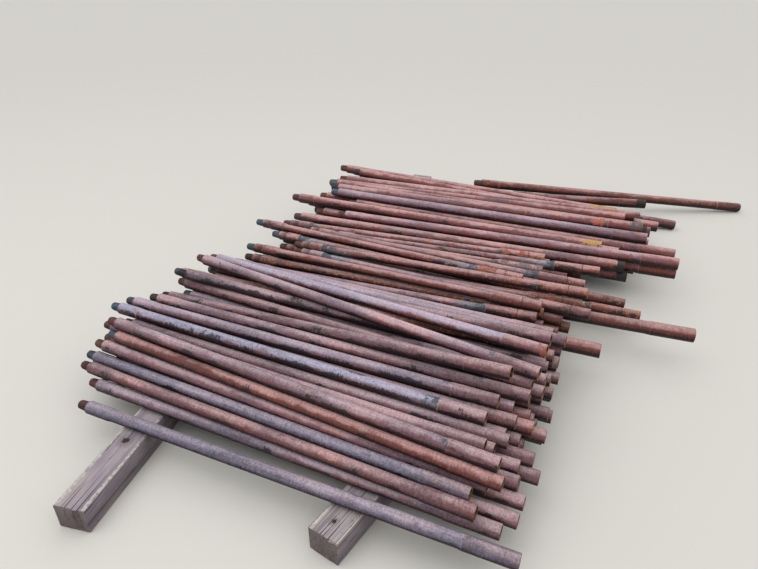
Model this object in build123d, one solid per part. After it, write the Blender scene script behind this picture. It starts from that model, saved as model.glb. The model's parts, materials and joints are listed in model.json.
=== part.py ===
"""A loose heap of threaded steel drill rods lying across sawn timbers.

The rods run along X: the pin ends point to -X and the box ends, with their open
mouths, to +X. The timbers run roughly along Y on the ground. Every rod rests on what
lies under it, timbers, other rods or the ground, with a small clearance. Millimetres,
+Z up, origin at the middle of the heap's footprint on the ground.
"""
from build123d import *
import math
import os

# Timbers: sawn lengths of one height, two under the front rows and two under the back
TIMBER_HEIGHT = 89.0
TIMBER_EDGE = 5.0
FRONT_TIMBER_WIDTH = 105.0
FRONT_TIMBER_LENGTH = 2438.0
BACK_TIMBER_WIDTH = 140.0
BACK_TIMBER_LENGTH = 1829.0

# Clearance left between a rod and what it rests on
REST_GAP = 0.3

# Bore through a pin, as a share of the pin's tip
PIN_BORE_SHARE = 0.6

# Slim rods of the front rows: five feet, almost flush joints
SLIM_LENGTH = 1524.0
SLIM_TUBE = 42.2
SLIM_JOINT = 46.0
SLIM_BORE = 32.6
SLIM_PIN_END = 96.0
SLIM_BOX_END = 150.0
SLIM_UPSET = 12.0
SLIM_PIN_BASE = 35.4
SLIM_PIN_TIP = 31.0
SLIM_PIN_LENGTH = 42.0
SLIM_BOX_BORE = 36.2
SLIM_BOX_DEPTH = 46.0

# Thin rods of the middle rows: thin tube with thick tool joints
THIN_LENGTH = 1420.0
THIN_TUBE = 38.1
THIN_JOINT = 48.3
THIN_BORE = 28.5
THIN_PIN_END = 118.0
THIN_BOX_END = 205.0
THIN_UPSET = 26.0
THIN_PIN_BASE = 36.8
THIN_PIN_TIP = 31.6
THIN_PIN_LENGTH = 44.0
THIN_BOX_BORE = 37.8
THIN_BOX_DEPTH = 48.0

# Heavy rods of the back rows: six feet
HEAVY_LENGTH = 1829.0
HEAVY_TUBE = 54.0
HEAVY_JOINT = 57.2
HEAVY_BORE = 42.8
HEAVY_PIN_END = 110.0
HEAVY_BOX_END = 165.0
HEAVY_UPSET = 14.0
HEAVY_PIN_BASE = 45.0
HEAVY_PIN_TIP = 40.0
HEAVY_PIN_LENGTH = 50.0
HEAVY_BOX_BORE = 46.2
HEAVY_BOX_DEPTH = 54.0


def rod_kind(length, tube, joint, bore, pin_end, box_end, upset,
             pin_base, pin_tip, pin_length, box_bore, box_depth):
    """Radii and stations of one kind of rod, measured from the pin's tip."""
    pin_shoulder = pin_length
    box_shoulder = length - box_end
    outside = [
        (0.0, pin_tip / 2),
        (pin_shoulder, pin_base / 2),
        (pin_shoulder, joint / 2),
        (pin_shoulder + pin_end, joint / 2),
        (pin_shoulder + pin_end + upset, tube / 2),
        (box_shoulder - upset, tube / 2),
        (box_shoulder, joint / 2),
        (length, joint / 2),
    ]
    seat_cone = (box_bore - bore) / 2
    pin_bore = pin_tip * PIN_BORE_SHARE
    inside = [
        (length, box_bore / 2),
        (length - box_depth, box_bore / 2),
        (length - box_depth - seat_cone, bore / 2),
        (pin_length + pin_end, bore / 2),
        (pin_length + pin_end - (bore - pin_bore) / 2, pin_bore / 2),
        (0.0, pin_bore / 2),
    ]
    return {"length": length, "joint": joint, "box_bore": box_bore,
            "box_depth": box_depth, "outside": outside, "inside": inside}


SLIM = rod_kind(SLIM_LENGTH, SLIM_TUBE, SLIM_JOINT, SLIM_BORE, SLIM_PIN_END,
                SLIM_BOX_END, SLIM_UPSET, SLIM_PIN_BASE, SLIM_PIN_TIP,
                SLIM_PIN_LENGTH, SLIM_BOX_BORE, SLIM_BOX_DEPTH)
THIN = rod_kind(THIN_LENGTH, THIN_TUBE, THIN_JOINT, THIN_BORE, THIN_PIN_END,
                THIN_BOX_END, THIN_UPSET, THIN_PIN_BASE, THIN_PIN_TIP,
                THIN_PIN_LENGTH, THIN_BOX_BORE, THIN_BOX_DEPTH)
HEAVY = rod_kind(HEAVY_LENGTH, HEAVY_TUBE, HEAVY_JOINT, HEAVY_BORE, HEAVY_PIN_END,
                 HEAVY_BOX_END, HEAVY_UPSET, HEAVY_PIN_BASE, HEAVY_PIN_TIP,
                 HEAVY_PIN_LENGTH, HEAVY_BOX_BORE, HEAVY_BOX_DEPTH)

# Where each timber lies: middle of its front end as (along the rods, across the
# heap), then its turn in degrees
TIMBERS = [
    ("timber_left", (-334, -1439), 11.0, FRONT_TIMBER_WIDTH, FRONT_TIMBER_LENGTH),
    ("timber_right", (369, -1222), -10.7, FRONT_TIMBER_WIDTH, FRONT_TIMBER_LENGTH),
    ("timber_back_left", (-430, 60), 1.5, BACK_TIMBER_WIDTH, BACK_TIMBER_LENGTH),
    ("timber_back_right", (352, 37), 2.0, BACK_TIMBER_WIDTH, BACK_TIMBER_LENGTH),
]

# Where the rods were thrown down, from the front row to the back. Each line is
# one rod: across the heap, shift along it to the box side, and turn in degrees.
FRONT_LAYER_1 = [
    (-1105, 115, 0.4), (-1018, 50, -1.0), (-962, 85, -1.2), (-904, 88, -0.4),
    (-850, 60, 0.2), (-796, 110, -0.3), (-740, 70, 0.3), (-684, 40, -0.2), (-628, 90, 0.2),
    (-572, 60, -0.3), (-516, 100, 0.3), (-460, 50, -0.2), (-404, 80, 0.3), (-348, 40, -0.3),
    (-292, 90, 0.2), (-236, 60, 0.3), (-180, 75, -0.4),
]
FRONT_LAYER_2 = [
    (-990, -20, -3.8), (-938, -51, -2.4), (-878, 60, -1.0), (-822, 51, -0.6),
    (-766, 84, -0.2), (-712, 30, 0.3), (-660, 100, -0.2), (-600, 50, 0.2), (-544, 90, -0.5),
    (-488, 40, 0.4), (-432, 85, -0.2), (-376, 60, 0.3), (-320, 30, -0.4), (-264, 75, 0.2),
    (-208, 50, -0.3),
]
FRONT_LAYER_3 = [
    (-918, -16, -2.4), (-878, -26, -2.6), (-822, -26, -1.6), (-752, -12, -0.6),
    (-700, 60, -0.2), (-648, 40, 0.3), (-590, 20, -0.4), (-530, 60, 0.5), (-474, 30, -0.3),
    (-418, 70, 0.2), (-362, 40, -0.4), (-300, 60, 0.3), (-240, 50, -0.2),
]
FRONT_LAYER_4 = [
    (-900, 28, -3.6), (-831, -48, -2.5), (-775, 6, -1.2), (-724, 10, -0.2),
    (-672, -10, 0.2), (-610, 30, -0.6), (-545, 64, -3.2), (-480, 60, -2.4),
    (-410, 40, 1.0), (-350, 60, 0.8), (-290, 80, -0.5), (-220, 60, -1.0),
]
FRONT_LAYER_5 = [
    (-868, 8, -3.8), (-763, -74, -0.2), (-711, -54, 0.0), (-664, 30, 0.3),
    (-618, -26, -4.9), (-541, 30, -4.0), (-470, 55, 3.9), (-385, -16, 3.7),
    (-350, 48, -4.2), (-281, 90, -1.9), (-200, 40, -2.2),
]
FRONT_LAYER_6 = [
    (-375, 50, -8.6), (-500, 50, -7.8),
]
MIDDLE_LAYER_1 = [
    (-100, 20, 0.5), (-48, 60, -0.3), (6, 90, 0.4), (60, 130, -0.5), (114, 60, 0.3),
    (168, 30, 0.6), (222, 70, 1.0), (276, 400, 0.5), (330, 60, 2.0), (384, 40, 2.2),
    (438, 110, 2.6), (492, 60, 3.0), (546, 30, 3.0),
]
MIDDLE_LAYER_2 = [
    (-74, 40, 0.3), (-20, 30, 0.2), (34, 100, -0.4), (88, 160, -0.6), (142, 70, 0.4),
    (196, 40, 0.8), (250, 30, 1.6), (304, 330, 2.0), (360, 70, 2.6), (414, 60, 2.8),
    (468, 120, 3.4), (520, -40, 3.6),
]
MIDDLE_LAYER_3 = [
    (-98, 5, 1.6), (-31, 23, 1.8), (65, 200, -2.5), (110, 175, -1.0), (155, 13, -0.5),
    (225, 39, 1.2), (285, 150, 3.4), (349, -48, 2.4), (420, 200, 4.0), (475, -60, 5.0),
]
MIDDLE_LAYER_4 = [
    (242, -110, -0.1), (-6, 15, 1.0),
]
LOW_RODS = [
    (-118, 60, 2.0), (100, 397, 4.8), (1385, 170, 6.0), (1449, 162, 9.9), (1607, 194, 13.0),
    (1570, 380, 9.5), (1860, 850, 24.0),
]
BACK_LAYER_1 = [
    (625, 120, 1.5), (688, 330, -0.5), (752, 150, 0.5), (816, 90, -0.4), (880, 30, 0.4),
    (944, 110, -0.6), (1008, 60, 0.3), (1072, 140, 0.5), (1136, 70, -0.4),
    (1200, 180, 0.3), (1264, 110, -0.3), (1328, 220, 0.8),
]
BACK_LAYER_2 = [
    (656, 100, 2.0), (720, 330, -1.5), (784, 60, -1.0), (848, 320, -0.8), (912, 80, -0.5),
    (976, 170, -0.4), (1040, 120, 0.3), (1104, 200, 0.4), (1168, 100, 0.6),
    (1232, 240, 0.5), (1296, 160, 1.0),
]
BACK_LAYER_3 = [
    (772, -25, -2.8), (880, 180, -0.7), (945, 150, -2.0), (1020, 110, -1.0),
    (1100, 60, 0.8), (1180, 110, 1.2), (1400, 10, 2.9),
]

# Nodes of like rods, in the order in which they are laid
ROWS = [
    ("front_rods_layer_1", SLIM, FRONT_LAYER_1),
    ("middle_rods_layer_1", THIN, MIDDLE_LAYER_1),
    ("low_rods", HEAVY, LOW_RODS),
    ("back_rods_layer_1", HEAVY, BACK_LAYER_1),
    ("front_rods_layer_2", SLIM, FRONT_LAYER_2),
    ("middle_rods_layer_2", THIN, MIDDLE_LAYER_2),
    ("back_rods_layer_2", HEAVY, BACK_LAYER_2),
    ("front_rods_layer_3", SLIM, FRONT_LAYER_3),
    ("middle_rods_layer_3", THIN, MIDDLE_LAYER_3),
    ("back_rods_layer_3", HEAVY, BACK_LAYER_3),
    ("front_rods_layer_4", SLIM, FRONT_LAYER_4),
    ("middle_rods_layer_4", THIN, MIDDLE_LAYER_4),
    ("front_rods_layer_5", SLIM, FRONT_LAYER_5),
    ("front_rods_layer_6", SLIM, FRONT_LAYER_6),
]

# How finely a rod is felt along its length, first while it rolls and then at rest,
# and how far it may roll sideways
ROLLING_STEP = 16.0
RESTING_STEP = 3.0
ROLL_STEPS = [8.0, 4.0, 2.0, 1.0, 0.5, 0.25]
ROLL_LIMIT = 30.0
ROLL_GAIN = 0.0001

# Sine of the largest turn that a rod laid over another has against the heap
CROSSING_SINE = 0.2


def radius_at(kind, station, reach=0.0):
    """Largest outer radius within reach of a station, or none past the ends."""
    if station < -reach or station > kind["length"] + reach:
        return None
    corners = kind["outside"]
    largest = 0.0
    for (s0, r0), (s1, r1) in zip(corners, corners[1:]):
        low, high = max(s0, station - reach), min(s1, station + reach)
        if low > high:
            continue
        span = s1 - s0
        for at in (low, high):
            share = (at - s0) / span if span > 0 else 0.0
            largest = max(largest, r0 + (r1 - r0) * share, r1 if span == 0 else 0.0)
    return largest


def feel_stations(kind, step):
    """Stations along a rod where its height over its supports is felt."""
    count = math.ceil(kind["length"] / step)
    even = [kind["length"] * i / count for i in range(count + 1)]
    corners = [s for s, _ in kind["outside"]]
    return sorted(set(even + corners))


def over_timber(x, y, margin):
    """Whether a place lies over one of the timbers, or within a margin of it."""
    for _, (front_x, front_y), turn, width, length in TIMBERS:
        cos_turn, sin_turn = math.cos(math.radians(turn)), math.sin(math.radians(turn))
        aside = (x - front_x) * cos_turn + (y - front_y) * sin_turn
        along = (y - front_y) * cos_turn - (x - front_x) * sin_turn
        if abs(aside) < width / 2 + margin and -margin < along < length + margin:
            return True
    return False


def needed_heights(kind, across, shift, turn, laid, step):
    """Height that a rod's axis needs over the ground and each support, as (along, height)."""
    cos_turn, sin_turn = math.cos(math.radians(turn)), math.sin(math.radians(turn))
    half = kind["length"] / 2
    near = [rod for rod in laid if abs(rod["across"] - across) < rod["reach"]]
    needed = []
    for station in kind["stations"][step]:
        along = station - half
        x, y = shift + along * cos_turn, across + along * sin_turn
        own = radius_at(kind, station)
        ground = TIMBER_HEIGHT if over_timber(x, y, step / 2) else 0.0
        height = ground + own + REST_GAP
        for rod in near:
            dx, dy = x - rod["shift"], y - rod["across"]
            foot = dx * rod["cos"] + dy * rod["sin"]
            apart = abs(dy * rod["cos"] - dx * rod["sin"])
            if apart > own + rod["kind"]["joint"] / 2 + REST_GAP:
                continue
            other = radius_at(rod["kind"], foot + rod["kind"]["length"] / 2, step / 2)
            if other is None or own + other + REST_GAP <= apart:
                continue
            rise = math.sqrt((own + other + REST_GAP) ** 2 - apart ** 2)
            over = rod["height"] + rod["slope"] * foot + rise * math.hypot(1.0, rod["slope"])
            height = max(height, over)
        needed.append((along, height))
    return needed


def resting_line(needed):
    """Height over the middle and slope of a straight rod laid on its supports."""
    upper = []
    for point in needed:
        while len(upper) > 1:
            (x0, z0), (x1, z1) = upper[-2], upper[-1]
            if (z1 - z0) * (point[0] - x0) <= (point[1] - z0) * (x1 - x0):
                upper.pop()
            else:
                break
        upper.append(point)
    for (x0, z0), (x1, z1) in zip(upper, upper[1:]):
        if x0 <= 0.0 <= x1:
            slope = (z1 - z0) / (x1 - x0)
            return z0 - slope * x0, slope
    return max(height for _, height in upper), 0.0


def settle(kind, across, shift, turn, laid):
    """Let a rod roll sideways into the nearest hollow and lie down there."""
    half = kind["length"] / 2

    def height_with(pin_roll, box_roll, step=ROLLING_STEP):
        middle = (pin_roll + box_roll) / 2
        turned = turn + math.degrees((box_roll - pin_roll) / kind["length"])
        needed = needed_heights(kind, across + middle, shift, turned, laid, step)
        return resting_line(needed)

    rolls = (0.0, 0.0)
    best = height_with(*rolls)
    for step in ROLL_STEPS:
        moved = True
        while moved:
            moved = False
            for pin_step, box_step in ((step, step), (-step, -step), (step, 0), (-step, 0),
                                       (0, step), (0, -step)):
                trial = (rolls[0] + pin_step, rolls[1] + box_step)
                if max(abs(trial[0]), abs(trial[1])) > ROLL_LIMIT:
                    continue
                found = height_with(*trial)
                if found[0] < best[0] - ROLL_GAIN:
                    rolls, best, moved = trial, found, True
                    break
    height, slope = height_with(*rolls, RESTING_STEP)
    middle = (rolls[0] + rolls[1]) / 2
    turned = turn + math.degrees((rolls[1] - rolls[0]) / kind["length"])
    sin_turn = math.sin(math.radians(turned))
    return {"kind": kind, "across": across + middle, "shift": shift, "turn": turned,
            "height": height, "slope": slope, "sin": sin_turn,
            "cos": math.cos(math.radians(turned)),
            "reach": half * (abs(sin_turn) + CROSSING_SINE) + kind["joint"]}


def lay_heap():
    """Lay every rod in turn; returns the rods of each node."""
    for _, kind, _ in ROWS:
        kind["stations"] = {step: feel_stations(kind, step) for step in (ROLLING_STEP, RESTING_STEP)}
    laid, nodes = [], {}
    for name, kind, row in ROWS:
        nodes[name] = []
        for across, shift, turn in row:
            rod = settle(kind, across, shift, turn, laid)
            laid.append(rod)
            nodes[name].append(rod)
    return nodes


def rod_direction(rod):
    """Unit vector from the pin to the box."""
    return Vector(rod["cos"], rod["sin"], rod["slope"]).normalized()


def rod_ends(rod):
    """Tip of the pin and face of the box, on the rod's axis."""
    middle = Vector(rod["shift"], rod["across"], rod["height"])
    reach = rod_direction(rod) * (rod["kind"]["length"] / 2)
    return middle - reach, middle + reach


def heap_middle(nodes):
    """Middle of the footprint, which becomes the origin."""
    xs, ys = [], []
    for rods in nodes.values():
        for rod in rods:
            axis = rod_direction(rod)
            pin, box = rod_ends(rod)
            for end, radius in ((pin, rod["kind"]["outside"][0][1]), (box, rod["kind"]["joint"] / 2)):
                spread = radius * math.sqrt(1 - axis.X ** 2)
                xs += [end.X - spread, end.X + spread]
                spread = radius * math.sqrt(1 - axis.Y ** 2)
                ys += [end.Y - spread, end.Y + spread]
    for _, (front_x, front_y), turn, width, length in TIMBERS:
        cos_turn, sin_turn = math.cos(math.radians(turn)), math.sin(math.radians(turn))
        for aside in (-width / 2, width / 2):
            for along in (0.0, length):
                xs.append(front_x + aside * cos_turn - along * sin_turn)
                ys.append(front_y + aside * sin_turn + along * cos_turn)
    return (min(xs) + max(xs)) / 2, (min(ys) + max(ys)) / 2


def make_rod(kind):
    """One rod along +X from the tip of its pin, turned from its profile."""
    outline = kind["outside"] + kind["inside"]
    with BuildPart() as rod:
        with BuildSketch(Plane.XZ):
            with BuildLine():
                Polyline(*outline, close=True)
            make_face()
        revolve(axis=Axis.X)
    return rod.part.solid()


def place_rod(blank, rod, middle):
    """Put a turned rod where it lies in the heap."""
    pin, _ = rod_ends(rod)
    origin = pin - Vector(middle[0], middle[1], 0)
    lie = Plane(origin=origin, x_dir=rod_direction(rod), z_dir=Vector(0, 0, 1).cross(
        rod_direction(rod)).cross(rod_direction(rod)) * -1)
    return blank.moved(lie.location)


def make_timber(front_end, turn, width, length, middle):
    """A sawn timber with slightly worn long edges, lying on the ground."""
    with BuildPart() as beam:
        Box(width, length, TIMBER_HEIGHT, align=(Align.CENTER, Align.MIN, Align.MIN))
        chamfer(beam.edges().filter_by(Axis.Y), TIMBER_EDGE)
    start = Vector(front_end[0] - middle[0], front_end[1] - middle[1], 0)
    return beam.part.solid().moved(Location(start, (0, 0, turn)))


def main():
    os.makedirs("parts", exist_ok=True)
    nodes = lay_heap()
    middle = heap_middle(nodes)
    for name, front_end, turn, width, length in TIMBERS:
        export_step(make_timber(front_end, turn, width, length, middle), "parts/" + name + ".step")
    for name, rods in nodes.items():
        blank = make_rod(rods[0]["kind"])
        placed = [place_rod(blank, rod, middle) for rod in rods]
        export_step(Compound(children=placed), "parts/" + name + ".step")


if __name__ == "__main__":
    main()
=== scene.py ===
import json
import math
import random

import bpy
import numpy as np
from mathutils import Matrix, Vector

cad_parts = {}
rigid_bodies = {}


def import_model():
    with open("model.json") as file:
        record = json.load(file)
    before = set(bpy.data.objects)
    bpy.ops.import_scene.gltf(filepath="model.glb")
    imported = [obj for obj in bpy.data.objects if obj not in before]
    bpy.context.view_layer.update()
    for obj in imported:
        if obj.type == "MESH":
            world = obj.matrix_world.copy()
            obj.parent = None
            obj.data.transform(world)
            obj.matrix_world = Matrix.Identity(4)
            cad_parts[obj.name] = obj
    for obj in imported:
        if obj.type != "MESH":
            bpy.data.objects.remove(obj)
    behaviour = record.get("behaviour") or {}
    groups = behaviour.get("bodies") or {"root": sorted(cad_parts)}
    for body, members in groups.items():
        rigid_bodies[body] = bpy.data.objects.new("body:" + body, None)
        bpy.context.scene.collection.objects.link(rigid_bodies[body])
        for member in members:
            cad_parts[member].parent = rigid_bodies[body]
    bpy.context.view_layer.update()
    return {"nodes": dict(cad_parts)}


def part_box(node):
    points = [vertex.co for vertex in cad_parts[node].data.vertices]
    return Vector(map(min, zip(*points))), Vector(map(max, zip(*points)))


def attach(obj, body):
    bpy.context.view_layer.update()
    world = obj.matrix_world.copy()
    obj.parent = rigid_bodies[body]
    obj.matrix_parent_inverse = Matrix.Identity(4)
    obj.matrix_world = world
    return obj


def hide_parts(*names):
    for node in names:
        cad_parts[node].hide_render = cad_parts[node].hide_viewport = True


# A loose heap of rusted drill rods on four sawn timbers.
# The frame gives every rod's place; each rod here is a turned blank with its threads,
# laid on the same axis. Metres, +X from pin ends to box ends, +Z up.

for leftover in list(bpy.data.objects):
    bpy.data.objects.remove(leftover)
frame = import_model()
print("frame loaded:", len(frame["nodes"]), "nodes")


mergeGap = 1e-6                # m, closer points are one


# sRGB hex to linear colour with full alpha
def linearColour(hexColour):
    parts = [int(hexColour[i:i + 2], 16) / 255 for i in (1, 3, 5)]
    return tuple(p / 12.92 if p <= 0.04045 else ((p + 0.055) / 1.055) ** 2.4 for p in parts) + (1.0,)


def addNode(tree, kind, inputs=None, **settings):
    node = tree.nodes.new(kind)
    for name, value in settings.items():
        setattr(node, name, value)
    for socket, value in (inputs or {}).items():
        if isinstance(value, bpy.types.NodeSocket):
            tree.links.new(value, node.inputs[socket])
        else:
            node.inputs[socket].default_value = value
    return node


def newMaterial(name):
    material = bpy.data.materials.new(name)
    material.use_nodes = True
    tree = material.node_tree
    tree.nodes.clear()
    return material, tree


def deselectAll():
    if bpy.context.object and bpy.context.object.mode != "OBJECT":
        bpy.ops.object.mode_set(mode="OBJECT")
    bpy.ops.object.select_all(action="DESELECT")


def makeActive(piece):
    deselectAll()
    piece.select_set(True)
    bpy.context.view_layer.objects.active = piece


def editAll(piece):
    makeActive(piece)
    bpy.ops.object.mode_set(mode="EDIT")
    bpy.ops.mesh.select_all(action="SELECT")


# Camera: a phone held at 1.42 m, looking down at the heap from its front right

camera = {
    "beside": "timber_right",      # its front left corner gives the camera's place
    "aside": 0.6126,               # m to the right of that corner
    "before": 0.8683,              # m in front of it
    "height": 1.419,               # m
    "down": 28.4,                  # degrees below level
    "turn": 24.0,                  # degrees to the left
    "sensor": 36.0,                # mm
    "lens": 36.0 * 569 / 758,      # mm, 569 pixels in a picture 758 wide
}


def placeCamera():
    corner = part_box(camera["beside"])[0]
    bpy.ops.object.camera_add(
        location=(corner.x + camera["aside"], corner.y - camera["before"], camera["height"]),
        rotation=(math.radians(90 - camera["down"]), 0, math.radians(camera["turn"])))
    eye = bpy.context.object
    eye.data.sensor_width = camera["sensor"]
    eye.data.lens = camera["lens"]
    bpy.context.scene.camera = eye


placeCamera()
print("camera placed")


# Rod blanks: sizes in metres, measured along the rod from the tip of its pin

slimRod = {
    "name": "slimRod", "length": 1.524, "tube": 0.0422, "joint": 0.0460, "bore": 0.0326,
    "pinEnd": 0.096, "boxEnd": 0.150, "upset": 0.012, "pinBase": 0.0354, "pinTip": 0.0310,
    "pinLength": 0.042, "boxBore": 0.0362, "boxDepth": 0.046,
    "neck": 0.0, "neckDepth": 0.0, "divide": 0.0, "turns": 5,
}
thinRod = {
    "name": "thinRod", "length": 1.420, "tube": 0.0381, "joint": 0.0483, "bore": 0.0285,
    "pinEnd": 0.118, "boxEnd": 0.205, "upset": 0.026, "pinBase": 0.0368, "pinTip": 0.0316,
    "pinLength": 0.044, "boxBore": 0.0378, "boxDepth": 0.048,
    "neck": 0.044, "neckDepth": 0.0022, "divide": 0.078, "turns": 5,
}
heavyRod = {
    "name": "heavyRod", "length": 1.829, "tube": 0.0540, "joint": 0.0572, "bore": 0.0428,
    "pinEnd": 0.110, "boxEnd": 0.165, "upset": 0.014, "pinBase": 0.0450, "pinTip": 0.0400,
    "pinLength": 0.050, "boxBore": 0.0462, "boxDepth": 0.054,
    "neck": 0.0, "neckDepth": 0.0, "divide": 0.0, "turns": 6,
}
rodMaking = {
    "sides": 28,
    "pinBoreShare": 0.6,           # of the pin's tip
    "threadDepth": 0.0014,
    "edgeRound": 0.0018,
    "roundShare": 0.3,             # how far the middle ring of a worn edge is set in
    "tipChamfer": 0.0012,
    "relief": ((0.0055, 0.0004), (0.0045, 0.0012), (0.0008, 0.0012)),   # before the shoulder, depth
    "neckSlope": 0.006,
    "weldDip": 0.0007,
    "weldWidth": 0.0022,
    "weldFall": 0.4,               # share of the dip on the tube side
    "upsetTaper": ((0.3, 0.16), (0.55, 0.5), (0.8, 0.86), (1.0, 1.0)),  # share along, share of the fall
    "divideWidths": (0.003, 0.001),
    "divideDepth": 0.0011,
    "tubeRings": 5,
    "mouthChamfer": (0.0014, 0.0012),
    "pinMouthChamfer": (0.001, 0.0008),
    "boxThreads": 5,
    "threadStart": 0.006,          # from the face of the box to its first thread
    "threadFree": 0.012,           # depth of the box without threads
    "boxThread": ((0.0, 0.0), (0.3, 1.0), (0.5, 1.0), (0.8, 0.0)),      # share of the pitch, of the depth
    "ridgeSteps": 20,
    "ridgeWidth": 0.62,            # shares of the pitch
    "ridgeLead": 0.35,
    "crestWidth": 0.35,            # share of the ridge's width
    "ridgeRoot": 0.0004,           # how deep the ridge is sunk into the pin
    "ridgeStart": 0.001,
    "pinThreadFree": 0.008,
    "crestBand": 0.0002,
    "smoothAngle": 32.0,
}


def outsideRings(rod):
    depth, worn, chamfer = [rodMaking[name] for name in ("threadDepth", "edgeRound", "tipChamfer")]
    dip, half = rodMaking["weldDip"], rodMaking["weldWidth"]
    little, fallen = worn * rodMaking["roundShare"], dip * rodMaking["weldFall"]
    shoulder, face, upset = rod["pinLength"], rod["length"], rod["upset"]
    pinWeld, boxWeld = shoulder + rod["pinEnd"], face - rod["boxEnd"]
    joint, tube = rod["joint"] / 2, rod["tube"] / 2
    tip, base = rod["pinTip"] / 2 - depth, rod["pinBase"] / 2 - depth
    first = joint - rod["neckDepth"]
    taper = [(upset * share, joint - (joint - tube) * fall) for share, fall in rodMaking["upsetTaper"]]
    rings = [(0.0, tip - chamfer), (chamfer, tip)]
    rings += [(shoulder - back, base - deep) for back, deep in rodMaking["relief"]]
    rings += [(shoulder, base), (shoulder, first - worn), (shoulder + little, first - little),
              (shoulder + worn, first)]
    if rod["neck"]:
        rings += [(shoulder + rod["neck"], first), (shoulder + rod["neck"] + rodMaking["neckSlope"], joint)]
    rings += [(pinWeld - half, joint), (pinWeld, joint - dip), (pinWeld + half, joint - fallen)]
    rings += [(pinWeld + step, r) for step, r in taper]
    span = boxWeld - upset - (pinWeld + upset)
    for i in range(1, rodMaking["tubeRings"]):
        rings.append((pinWeld + upset + span * i / rodMaking["tubeRings"], tube))
    rings += [(boxWeld - step, r) for step, r in reversed(taper)]
    rings += [(boxWeld - half, joint - fallen), (boxWeld, joint - dip), (boxWeld + half, joint)]
    if rod["divide"]:
        ring = face - rod["divide"]
        wide, narrow = rodMaking["divideWidths"]
        low = joint - rodMaking["divideDepth"]
        rings += [(ring - wide, joint), (ring - narrow, low), (ring + narrow, low), (ring + wide, joint)]
    rings += [(face - worn, joint), (face - little, joint - little), (face, joint - worn)]
    return rings


def insideRings(rod):
    face, mouth, bore = rod["length"], rod["boxBore"] / 2, rod["bore"] / 2
    pinBore = rod["pinTip"] * rodMaking["pinBoreShare"] / 2
    depth = rodMaking["threadDepth"]
    pitch = (rod["boxDepth"] - rodMaking["threadFree"]) / rodMaking["boxThreads"]
    inward, outward = rodMaking["mouthChamfer"]
    rings = [(face, mouth + outward), (face - inward, mouth)]
    for i in range(rodMaking["boxThreads"]):
        start = face - rodMaking["threadStart"] - pitch * i
        rings += [(start - pitch * along, mouth + depth * rise) for along, rise in rodMaking["boxThread"]]
    seat = face - rod["boxDepth"]
    pinSeat = rod["pinLength"] + rod["pinEnd"]
    inward, outward = rodMaking["pinMouthChamfer"]
    rings += [(seat, mouth), (seat - (mouth - bore), bore), (pinSeat, bore),
              (pinSeat - (bore - pinBore), pinBore), (inward, pinBore), (0.0, pinBore + outward)]
    return rings


def modelThread(rod):
    pitch = (rod["pinLength"] - rodMaking["pinThreadFree"]) / (rod["turns"] + 0.5)
    height, crest = rodMaking["threadDepth"] + rodMaking["ridgeRoot"], rod["pinTip"] / 2
    start = rodMaking["ridgeStart"] + pitch * rodMaking["ridgeLead"]
    bpy.ops.mesh.primitive_plane_add(size=1)
    ridge = bpy.context.object
    editAll(ridge)
    bpy.ops.transform.resize(value=(pitch * rodMaking["ridgeWidth"], height, 1))
    bpy.ops.transform.translate(value=(start, crest - height / 2, 0))
    bpy.ops.mesh.select_all(action="DESELECT")
    bpy.ops.object.mode_set(mode="OBJECT")
    top = max(v.co.y for v in ridge.data.vertices)
    for vertex in ridge.data.vertices:
        vertex.select = vertex.co.y > top - rodMaking["crestBand"]
    bpy.ops.object.mode_set(mode="EDIT")
    bpy.ops.transform.resize(value=(rodMaking["crestWidth"], 1, 1))
    bpy.ops.object.mode_set(mode="OBJECT")
    screw = ridge.modifiers.new("helix", "SCREW")
    screw.axis = "X"
    screw.screw_offset = pitch
    screw.iterations = rod["turns"]
    screw.steps = rodMaking["ridgeSteps"]
    screw.render_steps = rodMaking["ridgeSteps"]
    bpy.ops.object.modifier_apply(modifier="helix")
    taper = ridge.modifiers.new("taper", "SIMPLE_DEFORM")
    taper.deform_method = "TAPER"
    taper.deform_axis = "X"
    taper.factor = rod["pinBase"] / rod["pinTip"] - 1
    bpy.ops.object.modifier_apply(modifier="taper")
    editAll(ridge)
    bpy.ops.mesh.remove_doubles(threshold=mergeGap)
    bpy.ops.mesh.fill_holes(sides=4)
    bpy.ops.mesh.normals_make_consistent(inside=False)
    bpy.ops.object.mode_set(mode="OBJECT")
    return ridge


def modelRod(rod):
    rings = outsideRings(rod) + insideRings(rod)
    rings.append(rings[0])
    bpy.ops.mesh.primitive_circle_add(vertices=rodMaking["sides"], radius=rings[0][1],
                                      location=(0, 0, 0), rotation=(0, math.pi / 2, 0))
    blank = bpy.context.object
    bpy.ops.object.transform_apply(location=True, rotation=True, scale=True)
    editAll(blank)
    for (x0, r0), (x1, r1) in zip(rings, rings[1:]):
        bpy.ops.mesh.extrude_region_move(TRANSFORM_OT_translate={"value": (x1 - x0, 0, 0)})
        if r1 != r0:
            bpy.ops.transform.resize(value=(1, r1 / r0, r1 / r0), center_override=(x1, 0, 0))
    bpy.ops.mesh.select_all(action="SELECT")
    bpy.ops.mesh.remove_doubles(threshold=mergeGap)
    bpy.ops.mesh.normals_make_consistent(inside=False)
    bpy.ops.object.mode_set(mode="OBJECT")
    ridge = modelThread(rod)
    makeActive(blank)
    ridge.select_set(True)
    bpy.ops.object.join()
    bpy.ops.object.shade_smooth_by_angle(angle=math.radians(rodMaking["smoothAngle"]))
    blank.name = rod["name"] + "Blank"
    return blank


def vertexPlaces(piece):
    places = np.empty(len(piece.data.vertices) * 3)
    piece.data.vertices.foreach_get("co", places)
    return places.reshape(-1, 3)


# Where each vertex is, for the finish: along the rod from its welds and mouth, and in which zone

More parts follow.
